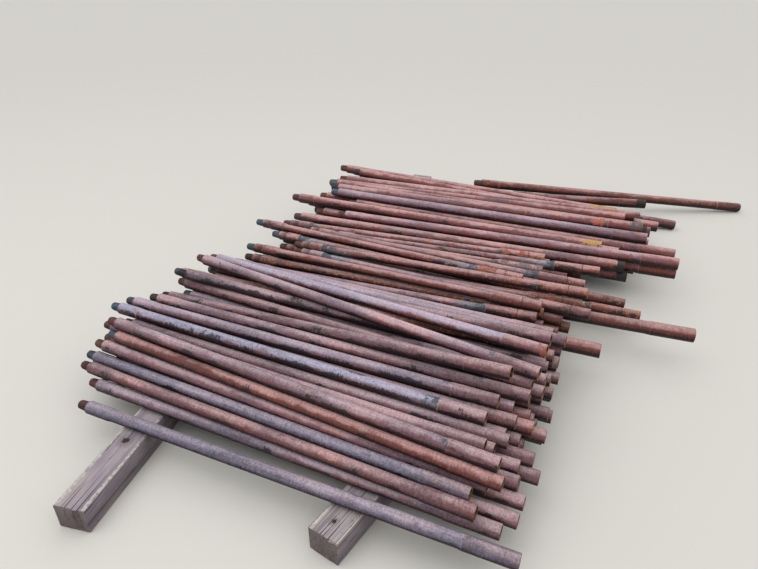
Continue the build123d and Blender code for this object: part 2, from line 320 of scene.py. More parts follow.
zoneLimits = {                 # m of play round the zones' edges
    "seat": 0.001, "boxWall": 0.0016, "boreWall": 0.0003, "shoulder": 0.001,
    "mouth": 0.0005, "face": 0.0001, "groove": 0.0035, "grooveDepth": 0.0005,
}


def writeStations(blank, rod):
    places = vertexPlaces(blank)
    x, radius = places[:, 0], np.hypot(places[:, 1], places[:, 2])
    shoulder, face = rod["pinLength"], rod["length"]
    pinBore = rod["pinTip"] * rodMaking["pinBoreShare"] / 2
    seat = face - rod["boxDepth"] - (rod["boxBore"] - rod["bore"]) / 2
    reach = np.where(x > seat - zoneLimits["seat"], rod["boxBore"] / 2 + zoneLimits["boxWall"],
                     rod["bore"] / 2 + zoneLimits["boreWall"])
    # The inside zone marks the bore, which the finish paints near black as painted shade.
    inside = np.where(x > shoulder + zoneLimits["shoulder"],
                      (radius < reach) & (x < face - zoneLimits["mouth"]),
                      radius < pinBore + zoneLimits["mouth"])
    onPin = (x < shoulder - zoneLimits["face"]) & ~inside.astype(bool)
    lip = x > face - zoneLimits["face"]
    stations = np.stack([x - (face - rod["boxEnd"]), x - shoulder - rod["pinEnd"], face - x], axis=1)
    # The groove zone marks the neck and dividing grooves, which the finish darkens as painted shade.
    groove = np.zeros(len(x))
    if rod["neck"]:
        sunk = radius < rod["joint"] / 2 - zoneLimits["grooveDepth"]
        for place in (face - rod["divide"], shoulder + rod["neck"] + rodMaking["neckSlope"] / 2):
            groove = np.maximum(groove, (np.abs(x - place) < zoneLimits["groove"]) & sunk)
    zones = np.stack([inside, onPin, lip, groove], axis=1).astype(float)
    for name, kind, values in (("rodStation", "FLOAT_VECTOR", stations), ("rodZone", "FLOAT_COLOR", zones)):
        layer = blank.data.attributes.new(name, kind, "POINT")
        layer.data.foreach_set("vector" if kind == "FLOAT_VECTOR" else "color", values.ravel())


blanks = []
for rod in (slimRod, thinRod, heavyRod):
    blank = modelRod(rod)
    writeStations(blank, rod)
    blanks.append((rod, blank))
print("rod blanks modelled:", [len(blank.data.polygons) for _, blank in blanks], "faces")


# The finish of each rod. hue runs from purple grey (0) over mauve (0.4) and maroon (0.65)
# to orange rust (1); light from dark to light; sheen is the lilac mill scale on its top, laid
# there with a painted reflection of the sky; scale the dark ragged scale; fleck the bright rust;
# boxBand and pinBand the heat tint at the welds; weldMark the pale weld line. paints lists up
# to two (colour, from, to), in metres from the box mouth. A rod draws its look from the spans of its rows.

usualLooks = {
    "front": {"hue": (0.28, 0.55), "light": (0.35, 0.65), "sheen": (0.05, 0.40), "scale": (0.15, 0.60),
              "fleck": (0.0, 0.15), "boxBand": (0.0, 0.6), "pinBand": (0.0, 0.3), "weldMark": (0.0, 0.5)},
    "middle": {"hue": (0.63, 0.95), "light": (0.15, 0.55), "sheen": (0.0, 0.25), "scale": (0.2, 0.75),
               "fleck": (0.2, 0.8), "boxBand": (0.2, 0.9), "pinBand": (0.2, 1.0), "weldMark": (0.0, 0.4)},
    "back": {"hue": (0.56, 0.82), "light": (0.60, 0.95), "sheen": (0.0, 0.25), "scale": (0.0, 0.35),
             "fleck": (0.0, 0.3), "boxBand": (0.0, 0.5), "pinBand": (0.0, 0.3), "weldMark": (0.0, 0.5)},
    "low": {"hue": (0.55, 0.75), "light": (0.1, 0.35), "sheen": (0.0, 0.15), "scale": (0.1, 0.4),
            "fleck": (0.0, 0.3), "boxBand": (0.0, 0.5), "pinBand": (0.0, 0.3), "weldMark": (0.0, 0.8)},
}

# Rods with a finish of their own, counted from the front of their layer

ownLooks = {
    "front_rods_layer_1": {0: {"hue": 0.05, "light": 0.36, "sheen": 0.4, "scale": 0.1, "pin": "rust"},
                           1: {"hue": 0.22, "light": 0.40, "sheen": 0.3, "scale": 0.45, "pin": "rust"}},
    "front_rods_layer_2": {0: {"hue": 0.55, "light": 0.35, "sheen": 0.05, "scale": 0.4, "pin": "rust"},
                           1: {"hue": 0.14, "light": 0.45, "sheen": 0.45, "scale": 0.3, "pin": "blue"}},
    "front_rods_layer_3": {0: {"hue": 0.46, "light": 0.70, "sheen": 0.1, "scale": 0.25, "pin": "rust"},
                           1: {"hue": 0.46, "light": 0.62, "sheen": 0.1, "scale": 0.25, "pin": "rust"}},
    "front_rods_layer_4": {0: {"hue": 0.76, "light": 0.42, "sheen": 0.0, "scale": 0.35, "pin": "blue"},
                           1: {"hue": 0.44, "light": 0.62, "sheen": 0.1, "scale": 0.25, "pin": "rust"},
                           2: {"hue": 0.35, "light": 0.30, "sheen": 0.15, "scale": 0.5, "pin": "rust"}},
    "front_rods_layer_5": {
        0: {"hue": 0.42, "light": 0.50, "sheen": 0.2, "scale": 0.5, "boxBand": 0.5, "pin": "rust"},
        1: {"hue": 0.36, "light": 0.54, "sheen": 1.0, "scale": 0.8, "boxBand": 0.8, "weldMark": 0.9,
            "pin": "blue"},
        2: {"hue": 0.36, "light": 0.50, "sheen": 0.45, "scale": 0.45, "boxBand": 0.6, "pin": "blue"},
        3: {"hue": 0.46, "light": 0.42, "sheen": 0.2, "scale": 0.45, "boxBand": 0.4, "pin": "dark"},
        4: {"hue": 0.48, "light": 0.36, "sheen": 0.1, "scale": 0.55, "pin": "dark"},
        5: {"hue": 0.50, "light": 0.36, "sheen": 0.1, "scale": 0.4, "pin": "rust"},
        6: {"hue": 0.30, "light": 0.28, "sheen": 0.2, "scale": 1.0, "pin": "dark"},
        7: {"hue": 0.92, "light": 0.50, "sheen": 0.1, "scale": 0.2, "fleck": 0.7, "pin": "blue"},
        8: {"hue": 0.46, "light": 0.28, "sheen": 0.1, "scale": 0.8, "pin": "dark"},
        9: {"hue": 0.38, "light": 0.62, "sheen": 0.5, "scale": 0.2, "pin": "dark"},
        10: {"hue": 0.45, "light": 0.50, "sheen": 0.35, "scale": 0.3, "pin": "dark"},
    },
    "front_rods_layer_6": {0: {"hue": 0.40, "light": 0.62, "sheen": 0.25, "scale": 0.2, "pin": "rust"},
                           1: {"hue": 0.46, "light": 0.70, "sheen": 0.75, "scale": 0.05, "pin": "rust",
                               "paints": [("redRust", 0.0, 0.012)]}},
    "middle_rods_layer_3": {
        0: {"hue": 0.58, "fleck": 0.4, "sheen": 0.4, "scale": 0.7, "boxBand": 0.9},
        1: {"hue": 0.70, "fleck": 0.9, "light": 0.30, "scale": 0.6, "boxBand": 0.1},
        2: {"hue": 0.60, "sheen": 0.4, "light": 0.45, "boxBand": 0.8, "pinBand": 1.0, "fleck": 0.2},
        3: {"hue": 0.64, "light": 0.38, "boxBand": 0.3, "pinBand": 0.9},
        4: {"hue": 0.68, "fleck": 0.6, "light": 0.35, "pinBand": 1.0, "scale": 0.5},
        5: {"hue": 0.66, "fleck": 0.5, "paints": [("greyScale", 0.0, 0.07)]},
        6: {"hue": 0.60, "fleck": 0.3, "boxBand": 0.9},
        7: {"hue": 0.58, "light": 0.60, "paints": [("greyScale", 0.0, 0.19)]},
        8: {"hue": 0.66, "light": 0.60, "boxBand": 1.0},
        9: {"hue": 0.66, "fleck": 0.6, "light": 0.65, "paints": [("redRust", 0.10, 0.20)]},
    },
    "middle_rods_layer_4": {0: {"hue": 0.68, "fleck": 0.2, "light": 0.45, "pin": "teal", "pinBand": 0.3,
                                "boxBand": 0.3},
                            1: {"hue": 0.66, "fleck": 0.5, "light": 0.50, "boxBand": 1.0, "pinBand": 0.6,
                                "paints": [("redRust", 0.115, 0.20)]}},
    "back_rods_layer_1": {0: {"paints": [("black", 0.0, 0.05)]},
                          8: {"paints": [("salmon", 0.06, 0.16), ("paleBlue", 0.17, 0.30)]},
                          9: {"paints": [("black", 0.0, 0.03)]}},
    "back_rods_layer_2": {0: {"hue": 0.60, "paints": [("black", 0.0, 0.04)]},
                          6: {"hue": 0.35, "sheen": 0.4, "light": 0.55},
                          7: {"paints": [("black", 0.02, 0.055)]},
                          10: {"paints": [("black", 0.0, 0.045)]}},
    "back_rods_layer_3": {0: {"hue": 0.68, "light": 0.85, "paints": [("ochre", 0.0, 0.085)]},
                          1: {"hue": 0.42, "light": 0.72, "sheen": 0.35},
                          2: {"hue": 0.70, "light": 0.75, "fleck": 0.3,
                              "paints": [("salmon", 0.19, 0.235), ("greyBlue", 0.0, 0.05)]},
                          4: {"hue": 0.66, "light": 0.65},
                          6: {"hue": 0.68, "light": 0.75, "paints": [("ochre", 0.0, 0.15)]}},
    "low_rods": {2: {"paints": [("black", 0.0, 0.05)]}, 5: {"paints": [("black", 0.0, 0.06)]},
                 6: {"hue": 0.74, "light": 0.50, "fleck": 0.5, "weldMark": 1.0}},
}
pinColours = {"blue": "#51687a", "rust": "#6d4a42", "dark": "#3b3534", "teal": "#4a6d75"}
paintColours = {"ochre": "#b7904f", "salmon": "#c06a55", "redRust": "#9c5a47", "greyScale": "#74696a",
                "black": "#17191c", "paleBlue": "#8fa3a8", "greyBlue": "#4d5a63", "none": "#000000"}
wholePaints = ("black",)       # the others are worn
patternShift = 40              # m, how far apart two rods may lie in the patterns


# Each rod of a node, by its pin's tip, its axis and its length, in order from the front
def findRods(nodeName):
    original = frame["nodes"][nodeName]
    deselectAll()
    loose = original.copy()
    loose.data = original.data.copy()
    loose.parent = None
    bpy.context.scene.collection.objects.link(loose)
    editAll(loose)
    bpy.ops.mesh.remove_doubles(threshold=mergeGap)
    bpy.ops.mesh.separate(type="LOOSE")
    bpy.ops.object.mode_set(mode="OBJECT")
    rods = []
    for part in list(bpy.context.selected_objects):
        places = vertexPlaces(part)
        middle = places.mean(axis=0)
        axis = np.linalg.svd(places - middle, full_matrices=False)[2][0]
        axis = axis if axis[0] > 0 else -axis
        along = (places - middle) @ axis
        rods.append({"pin": middle + axis * along.min(), "axis": axis, "length": along.max() - along.min()})
        bpy.data.objects.remove(part)
    return sorted(rods, key=lambda rod: rod["pin"][1] + rod["axis"][1] * rod["length"] / 2)


def rodLook(nodeName, index, dice):
    usual = usualLooks[nodeName.split("_")[0]]
    look = {name: dice.uniform(*span) for name, span in usual.items()}
    look["pin"] = dice.choice(("blue", "rust", "dark", "rust"))
    look["paints"] = []
    look.update(ownLooks.get(nodeName, {}).get(index, {}))
    return look


def writeLook(copy, blank, look, dice):
    count = len(copy.data.vertices)
    offset = [dice.uniform(-patternShift, patternShift) for _ in range(3)]
    layer = copy.data.attributes.new("rodPoint", "FLOAT_VECTOR", "POINT")
    layer.data.foreach_set("vector", (vertexPlaces(blank) + offset).ravel())
    values = {"rodTone": (look["hue"], look["light"], look["sheen"], look["scale"]),
              "rodAge": (look["fleck"], look["boxBand"], look["pinBand"], look["weldMark"]),
              "pinTone": linearColour(pinColours[look["pin"]])}
    for i, (colourName, start, end) in enumerate((look["paints"] + [("none", -1.0, -1.0)] * 2)[:2]):
        values["paintTone%d" % i] = linearColour(paintColours[colourName])
        whole, laid = float(colourName in wholePaints), float(colourName != "none")
        values["paintSpan%d" % i] = (start, end, whole, laid)
    for name, value in values.items():
        layer = copy.data.attributes.new(name, "FLOAT_COLOR", "POINT")
        layer.data.foreach_set("color", np.tile(value, count))


def layRods(nodeName, material):
    dice = random.Random("rods of " + nodeName)
    copies = []
    for index, found in enumerate(findRods(nodeName)):
        rod, blank = min(blanks, key=lambda pair: abs(pair[0]["length"] - found["length"]))
        copy = blank.copy()
        copy.data = blank.data.copy()
        bpy.context.scene.collection.objects.link(copy)
        writeLook(copy, blank, rodLook(nodeName, index, dice), dice)
        axis = Vector(found["axis"])
        aside = Vector((0, 0, 1)).cross(axis).normalized()
        lie = Matrix((axis, aside, axis.cross(aside))).transposed().to_4x4()
        roll = Matrix.Rotation(dice.uniform(0, math.tau), 4, "X")
        copy.matrix_world = Matrix.Translation(Vector(found["pin"])) @ lie @ roll
        copies.append(copy)
    deselectAll()
    for copy in copies:
        copy.select_set(True)
    bpy.context.view_layer.objects.active = copies[0]
    bpy.ops.object.transform_apply(location=True, rotation=True, scale=True)
    bpy.ops.object.join()
    piece = bpy.context.object
    piece.name = "rusted_" + nodeName
    piece.data.materials.clear()
    piece.data.materials.append(material)
    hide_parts(nodeName)
    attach(piece, "root")
    return piece


# A finish is mixed from signals: patterns are noises about zero, sums add weighted signals
# and may be turned into a mask by an edge (from, to), and layers lay colours through masks.
# Sizes are in mm. Each pattern is shifted by its own size, so that no two lie alike.

def addPatterns(tree, signals, point, axis, patterns):
    for name, (size, stretch, detail, rough) in patterns.items():
        steps = [1 / stretch if i == axis else 1.0 for i in range(3)]
        spread = addNode(tree, "ShaderNodeMapping", {0: point, 1: (size, size / 2, size / 3), 3: steps})
        noise = addNode(tree, "ShaderNodeTexNoise", {"Vector": spread.outputs[0], "Scale": 1000 / size,
                                                     "Detail": detail, "Roughness": rough})
        centred = addNode(tree, "ShaderNodeMath", {0: noise.outputs[0], 1: 0.5}, operation="SUBTRACT")
        signals[name] = centred.outputs[0]


def addSums(tree, signals, sums):
    for name, (weights, total, edge) in sums.items():
        for source, weight in weights.items():
            step = addNode(tree, "ShaderNodeMath", {0: signals[source], 1: weight, 2: total},
                           operation="MULTIPLY_ADD")
            total = step.outputs[0]
        if edge:
            mask = addNode(tree, "ShaderNodeMapRange", {0: total, 1: edge[0], 2: edge[1]},
                           interpolation_type="SMOOTHSTEP")
            total = mask.outputs[0]
        signals[name] = total


def addLayers(tree, signals, colours, layers):
    mixed = linearColour(colours["base"])
    for colourName, strength, masks in layers:
        share = strength
        for mask in masks:
            product = addNode(tree, "ShaderNodeMath", {0: signals[mask], 1: share}, operation="MULTIPLY")
            share = product.outputs[0]
        over = signals[colourName] if colourName in signals else linearColour(colours[colourName])
        layer = addNode(tree, "ShaderNodeMix", {0: share, 6: mixed, 7: over}, data_type="RGBA")
        mixed = layer.outputs[2]
    return mixed


# Rusted mill steel: hot rolled tube left outdoors. Its blue-grey mill scale survives as a
# lilac sheen on the tops, which also carries a painted reflection of the sky, and as dark patches
# with ragged edges that run round the tube; the rest is matt mauve to orange rust, with a painted
# highlight on the crest and painted shade underneath, in the grooves and inside the bore.

rustPatterns = {               # width in mm, how much longer it is along the rod, detail, roughness
    "broad": (170.0, 2.0, 2.0, 0.5),
    "long": (42.0, 2.6, 3.0, 0.5),
    "blotch": (26.0, 1.4, 4.0, 0.6),
    "drips": (24.0, 0.26, 3.0, 0.6),
    "grain": (5.5, 1.1, 3.0, 0.75),   # the real grain is 0.5 to 1 mm, too fine to show
    "streak": (6.0, 26.0, 2.0, 0.5),
    "spots": (16.0, 1.6, 4.0, 0.65),
}
rustSurface = {"bump": 0.0010, "bumpStrength": 0.6}    # m, share
rustColours = {
    "base": "#797082",         # purple grey
    "mauve": "#855f66",
    "maroon": "#7e443d",
    "orange": "#824a34",
    "stain": "#452c2c",
    # crest: painted highlight, a pale tint laid on the upward-facing top of each rod
    "crest": "#cdb2b5",
    # lilac: the colour of the surviving mill scale, laid only where the surface faces up, so it is also a
    # painted reflection of the sky
    "lilac": "#a9a8c0",
    "warmCrest": "#c88c82",
    # painted shade: near black, laid on the undersides and in the grooves
    "damp": "#180809",
    "millScale": "#21161b",
    "rustFleck": "#a0603d",
    "paleFleck": "#d0a474",
    "tint": "#39424c",
    "paleTint": "#7f8e9c",
    "weldLine": "#b5a19b",
    # painted shade: near black laid over the whole inside of the bore
    "insideDark": "#150e0c",
    # ochre rust inside the mouth, laid only on the up-facing lower wall, where it also paints the light
    # falling into the bore
    "insideOchre": "#a5733d",
    "roughLip": "#b28b68",
}
rustSums = {
    "mauveShare": ({"hue": 1.0, "broad": 0.7}, 0.0, (0.02, 0.38)),
    "maroonShare": ({"hue": 1.0, "broad": 0.7}, 0.0, (0.42, 0.68)),
    "orangeShare": ({"hue": 1.0, "broad": 0.7}, 0.0, (0.74, 1.0)),
    "stained": ({"blotch": 1.0, "long": 0.7}, 0.0, (-0.04, 0.18)),
    # painted highlight: this mask rises with the normal's upward share, so the tops come out lighter
    "paintedCrestHighlight": ({"facing": 1.0, "blotch": 1.0, "broad": 1.2}, 0.0, (0.52, 1.08)),
    # mask for the lilac sheen on the tops: mill scale colour and painted reflection of the sky
    "onTop": ({"facing": 1.0, "blotch": 1.4, "long": 1.8}, 0.0, (0.15, 0.8)),
    "offJoint": ({"fromBox": 1.0}, 0.0, (0.002, -0.002)),
    # painted shade: this mask rises as the normal turns downward, so the undersides come out dark
    "paintedShadeUnderneath": ({"facing": 1.0, "drips": 0.6, "blotch": 0.6}, 0.0, (0.36, -0.34)),
    "scaled": ({"facing": 1.0, "scale": -1.1, "long": -3.6, "drips": -1.6, "blotch": -1.4}, 0.55,
               (0.08, -0.08)),
    "spotted": ({"spots": 1.0, "drips": 0.4, "fleck": 0.19}, 0.0, (0.14, 0.25)),
    "upper": ({"facing": 1.0}, 0.0, (-0.2, 0.4)),
    "flecked": ({"fleck": 1.0}, 0.0, (0.0, 0.33)),
    "coarse": ({"grain": 1.0}, 0.0, (0.0, 0.12)),
    "tubeSideOfBox": ({"fromBox": -1.0}, 0.0, (0.0, 0.001)),
    "nearBox": ({"fromBox": -1.0, "blotch": 0.25}, 0.0, (0.075, 0.03)),
    "beyondBox": ({"fromBox": -1.0, "blotch": 0.35}, 0.0, (0.16, 0.06)),
    "boxTinted": ({"boxBand": 0.42, "blotch": 1.0, "drips": 0.6, "long": 0.8}, 0.0, (0.24, 0.34)),
    "boxPaled": ({"boxBand": 1.0}, 0.0, (0.7, 1.0)),
    "tubeSideOfPin": ({"fromPin": 1.0}, 0.0, (0.0, 0.001)),
    "nearPin": ({"fromPin": 1.0, "blotch": 0.25}, 0.0, (0.07, 0.03)),
    "beyondPin": ({"fromPin": 1.0, "blotch": 0.35}, 0.0, (0.22, 0.06)),
    "pinTinted": ({"pinBand": 0.42, "blotch": 1.0, "drips": 0.6, "long": 0.8}, 0.0, (0.24, 0.34)),
    "pinPaled": ({"pinBand": 1.0}, 0.0, (0.8, 1.0)),
    "boxRing": ({"awayFromBox": 1.0}, 0.0, (0.0032, 0.0014)),
    "pinRing": ({"awayFromPin": 1.0}, 0.0, (0.0032, 0.0014)),
    # the up-facing lower wall inside the bore: ochre rust there, with painted light
    "lowerRim": ({"facing": 1.0}, 0.0, (0.0, 0.6)),
    "nearMouth": ({"fromMouth": 1.0}, 0.0, (0.045, 0.004)),
    "rimRust": ({"spots": 1.0}, 0.0, (-0.12, 0.06)),
    "value": ({"light": 0.55, "grain": 1.9, "drips": 0.8, "streak": 0.7, "broad": 0.8}, 0.65, None),
}
for i in (0, 1):
    rustSums["paintBegun%d" % i] = ({"fromMouth": 1.0, "paintFrom%d" % i: -1.0}, 0.0, (-0.004, 0.0))
    rustSums["paintEnded%d" % i] = ({"fromMouth": 1.0, "paintTo%d" % i: -1.0, "blotch": 0.08, "drips": 0.06},
                                    0.0, (0.006, -0.002))
    rustSums["paintKept%d" % i] = ({"blotch": 1.2, "drips": 0.9, "facing": -0.16, "paintWhole%d" % i: -0.45},
                                   0.0, (0.02, -0.12))
rustLayers = [
    ("mauve", 1.0, ["mauveShare"]),
    ("maroon", 1.0, ["maroonShare"]),
    ("orange", 1.0, ["orangeShare"]),
    ("stain", 0.45, ["stained"]),
    # painted highlight on the crest, pinker on the maroon rods
    ("crest", 0.62, ["paintedCrestHighlight"]),
    ("warmCrest", 0.5, ["paintedCrestHighlight", "maroonShare"]),
    # lilac mill scale with a painted reflection of the sky on the tops
    ("lilac", 0.85, ["onTop", "sheen", "offJoint"]),
    # painted shade under each rod
    ("damp", 0.92, ["paintedShadeUnderneath"]),
    ("millScale", 0.86, ["scaled"]),
    ("rustFleck", 0.75, ["spotted", "upper", "flecked"]),
    ("paleFleck", 0.65, ["spotted", "upper", "flecked", "coarse"]),
    ("paleTint", 0.7, ["tubeSideOfBox", "beyondBox", "boxPaled"]),
    ("tint", 0.85, ["tubeSideOfBox", "nearBox", "boxTinted"]),
    ("paleTint", 0.65, ["tubeSideOfPin", "beyondPin", "pinPaled"]),
    ("tint", 0.85, ["tubeSideOfPin", "nearPin", "pinTinted"]),
    # painted shade in the neck and dividing grooves
    ("damp", 0.7, ["grooved"]),
    ("weldLine", 0.55, ["boxRing", "weldMark"]),
    ("weldLine", 0.55, ["pinRing", "weldMark"]),
    ("paintTone0", 0.92, ["paintShare0", "paintBegun0", "paintEnded0", "paintKept0"]),
    ("paintTone1", 0.92, ["paintShare1", "paintBegun1", "paintEnded1", "paintKept1"]),
    ("pinTone", 1.0, ["onPin"]),
    ("stain", 0.8, ["onPin", "stained"]),
    ("roughLip", 0.75, ["onLip"]),
    # painted shade inside the bore
    ("insideDark", 1.0, ["inside"]),
    # ochre rust and painted light on the lower wall inside the mouth
    ("insideOchre", 0.95, ["inside", "lowerRim", "nearMouth", "rimRust"]),
]


def makeRustedSteel():
    material, tree = newMaterial("rustedMillSteel")
    signals = {}
    channelNames = {
        "rodStation": ("fromBox", "fromPin", "fromMouth", None),
        "rodZone": ("inside", "onPin", "onLip", "grooved"),
        "rodTone": ("hue", "light", "sheen", "scale"),
        "rodAge": ("fleck", "boxBand", "pinBand", "weldMark"),
        "paintSpan0": ("paintFrom0", "paintTo0", "paintWhole0", "paintShare0"),
        "paintSpan1": ("paintFrom1", "paintTo1", "paintWhole1", "paintShare1"),
    }
    for attribute, names in channelNames.items():
        read = addNode(tree, "ShaderNodeAttribute", attribute_name=attribute)
        channels = addNode(tree, "ShaderNodeSeparateXYZ", {0: read.outputs["Vector"]})
        for name, socket in zip(names, list(channels.outputs) + [read.outputs["Alpha"]]):
            if name:
                signals[name] = socket
    for name in ("pinTone", "paintTone0", "paintTone1"):
        signals[name] = addNode(tree, "ShaderNodeAttribute", attribute_name=name).outputs["Color"]
    for name, source in (("awayFromBox", "fromBox"), ("awayFromPin", "fromPin")):
        signals[name] = addNode(tree, "ShaderNodeMath", {0: signals[source]}, operation="ABSOLUTE").outputs[0]
    normal = addNode(tree, "ShaderNodeNewGeometry").outputs["Normal"]
    signals["facing"] = addNode(tree, "ShaderNodeSeparateXYZ", {0: normal}).outputs[2]
    point = addNode(tree, "ShaderNodeAttribute", attribute_name="rodPoint").outputs["Vector"]
    addPatterns(tree, signals, point, 0, rustPatterns)
    addSums(tree, signals, rustSums)
    addSums(tree, signals, {
        "roughness": ({"onTop": -0.10, "scaled": -0.12, "grain": 0.35}, 0.72, None),
        "height": ({"grain": 0.6, "drips": 0.3, "streak": 0.15, "blotch": 0.4, "scaled": 0.3}, 0.0, None),
    })
    rust = addLayers(tree, signals, rustColours, rustLayers)
    shaded = addNode(tree, "ShaderNodeVectorMath", {0: rust, 3: signals["value"]}, operation="SCALE")
    bump = addNode(tree, "ShaderNodeBump", {"Strength": rustSurface["bumpStrength"],
                                            "Distance": rustSurface["bump"], "Height": signals["height"]})
    shader = addNode(tree, "ShaderNodeBsdfPrincipled", {"Base Color": shaded.outputs[0],
                                                        "Roughness": signals["roughness"],
                                                        "Normal": bump.outputs[0]})
    addNode(tree, "ShaderNodeOutputMaterial", {0: shader.outputs[0]})
    return material


rustedSteel = makeRustedSteel()
rodNodes = [name for name in sorted(frame["nodes"]) if "rods" in name]
rodPieces = [layRods(name, rustedSteel) for name in rodNodes]
for _, blank in blanks:
    bpy.data.objects.remove(blank)
print("rods laid:", len(rodPieces), "pieces,", sum(len(p.data.polygons) for p in rodPieces), "faces")


# Timbers: sawn softwood, weathered grey, with split ends and worn edges

timberKnots = {                    # place from the middle line and from the front end, size
    "timber_left": (-0.004, 0.280, 0.013),
    "timber_right": (-0.003, 0.057, 0.007),
    "timber_back_left": (0.020, 0.40, 0.010),
    "timber_back_right": (-0.015, 0.55, 0.009),
}
timberMaking = {
    "wornEdge": 0.004,
    "slice": 0.045,                # distance between cross cuts that carry the waves
    "lengthCuts": (-0.3, -0.1, 0.1, 0.3),      # shares of the width
    "wave": 0.0022,                # depth
    "waves": 6,
    "waveRate": (2, 9),
    "waveStart": (0, 6),
    "waveShare": (0.3, 1),
    "waveTwist": 20,               # how the waves change across the timber
    "wavyHeight": 0.5,             # the top above this share of the height is wavy
    "wavySide": 0.4,               # and the sides beyond this share of the width
    "endDip": 1.6,                 # how much more the top has worn down at its very ends
    "endSkin": (0.001, 0.002),     # how near the end a point counts as dipped, as ragged
    "splitsPerEnd": 3,
    "split": 0.0035,               # half its width, then its length
    "splitLength": 0.16,
    "splitPlace": 0.36,            # share of the width
    "splitReach": (0.4, 1.2),      # shares of the length, of the width, and how deep for its width
    "splitWidth": (0.6, 1.3),
    "splitDepth": (6, 14),
    "splitOverhang": 0.001,
    "endRagged": 0.004,
    "grainShift": 9,               # m, how far apart two timbers may lie in the grain
    "smoothAngle": 35.0,
}


def timberFrame(nodeName):
    places = vertexPlaces(frame["nodes"][nodeName])
    low, high = places.min(axis=0), places.max(axis=0)
    corners = np.unique(np.round(places, 6), axis=0)
    middle = corners.mean(axis=0)
    axis = np.linalg.svd(corners - middle, full_matrices=False)[2][0]
    axis[2] = 0
    axis = axis / np.linalg.norm(axis)
    axis = axis if axis[1] > 0 else -axis
    aside = np.array([axis[1], -axis[0], 0.0])
    along, across = (corners - middle) @ axis, (corners - middle) @ aside
    return {"middle": middle, "axis": axis, "turn": math.atan2(-axis[0], axis[1]),
            "length": along.max() - along.min(), "width": across.max() - across.min(),
            "height": high[2] - low[2], "floor": low[2]}


def modelTimber(nodeName, material):
    dice = random.Random("timber " + nodeName)
    found = timberFrame(nodeName)
    width, length, height = found["width"], found["length"], found["height"]
    bpy.ops.mesh.primitive_cube_add(size=1, location=(0, 0, height / 2), scale=(width, length, height))
    timber = bpy.context.object
    bpy.ops.object.transform_apply(location=True, rotation=True, scale=True)
    editAll(timber)
    bpy.ops.mesh.bevel(offset=timberMaking["wornEdge"], segments=2, affect="EDGES")
    slices = int(length / timberMaking["slice"])
    for i in range(1, slices):
        bpy.ops.mesh.select_all(action="SELECT")
        bpy.ops.mesh.bisect(plane_co=(0, length * (i / slices - 0.5), 0), plane_no=(0, 1, 0))
    for share in timberMaking["lengthCuts"]:
        bpy.ops.mesh.select_all(action="SELECT")
        bpy.ops.mesh.bisect(plane_co=(width * share, 0, 0), plane_no=(1, 0, 0))
    bpy.ops.object.mode_set(mode="OBJECT")
    cutSplits(timber, dice, width, length, height)
    wearTimber(timber, dice, width, length, height)
    places = vertexPlaces(timber)
    shift = timberMaking["grainShift"]
    offset = np.array([dice.uniform(-shift, shift), dice.uniform(-shift, shift), 0])
    knotAcross, knotAlong, knotSize = timberKnots[nodeName]
    knot = np.array([knotAcross, knotAlong - length / 2, height]) + offset
    for name, values in (("grainPoint", places + offset), ("knotPlace", np.tile(knot, (len(places), 1)))):
        layer = timber.data.attributes.new(name, "FLOAT_VECTOR", "POINT")
        layer.data.foreach_set("vector", values.ravel())
    edgeGap = width / 2 - np.abs(places[:, 0])
    for name, values in (("edgeGap", edgeGap), ("knotSize", np.full(len(places), knotSize))):
        layer = timber.data.attributes.new(name, "FLOAT", "POINT")
        layer.data.foreach_set("value", values)
    makeActive(timber)
    timber.location = (found["middle"][0], found["middle"][1], found["floor"])
    timber.rotation_euler = (0, 0, found["turn"])
    bpy.ops.object.transform_apply(location=True, rotation=True, scale=True)
    bpy.ops.object.shade_smooth_by_angle(angle=math.radians(timberMaking["smoothAngle"]))
    timber.name = "weathered_" + nodeName
    timber.data.materials.clear()
    timber.data.materials.append(material)
    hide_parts(nodeName)
    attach(timber, "root")
    return timber


# Seasoning splits: thin wedges cut out of the top from both ends
def cutSplits(timber, dice, width, length, height):
    side = timberMaking["splitPlace"]
    for end in (-1, 1):
        for _ in range(timberMaking["splitsPerEnd"]):
            place = dice.uniform(-side, side) * width
            reach = timberMaking["splitLength"] * dice.uniform(*timberMaking["splitReach"])
            half = timberMaking["split"] * dice.uniform(*timberMaking["splitWidth"])
            middle = end * (length / 2 - reach / 2 + timberMaking["splitOverhang"])
            bpy.ops.mesh.primitive_cone_add(vertices=3, radius1=half, radius2=0.0, depth=reach,
                                            location=(place, middle, height),
                                            rotation=(math.pi / 2 * end, 0, 0))
            wedge = bpy.context.object
            wedge.scale = (1, dice.uniform(*timberMaking["splitDepth"]), 1)
            bpy.ops.object.transform_apply(location=True, rotation=True, scale=True)
            makeActive(timber)
            cut = timber.modifiers.new("split", "BOOLEAN")
            cut.operation = "DIFFERENCE"
            cut.object = wedge
            cut.solver = "EXACT"
            bpy.ops.object.modifier_apply(modifier="split")
            bpy.data.objects.remove(wedge)


# Waves in the top and sides, and ragged ends
def wearTimber(timber, dice, width, length, height):
    spans = [timberMaking[name] for name in ("waveRate", "waveStart", "waveShare")]
    waves = [[dice.uniform(*span) for span in spans] for _ in range(timberMaking["waves"])]
    dipped, ragged = timberMaking["endSkin"]
    for vertex in timber.data.vertices:
        x, y, z = vertex.co
        across = x * timberMaking["waveTwist"]
        wave = sum(math.sin(y * rate + start + across) * share for rate, start, share in waves) / len(waves)
        worn = timberMaking["wave"] * (0.5 + 0.5 * wave)
        fromEnd = length / 2 - abs(y)
        if z > height * timberMaking["wavyHeight"]:
            vertex.co.z -= worn * (1 if fromEnd > dipped else timberMaking["endDip"])
        if abs(x) > width * timberMaking["wavySide"]:
            vertex.co.x -= math.copysign(worn, x)
        if fromEnd < ragged:
            vertex.co.y -= math.copysign(timberMaking["endRagged"] * dice.random(), y)


# Weathered softwood: silvered by rain, so grey with open grain lines, checks and knots

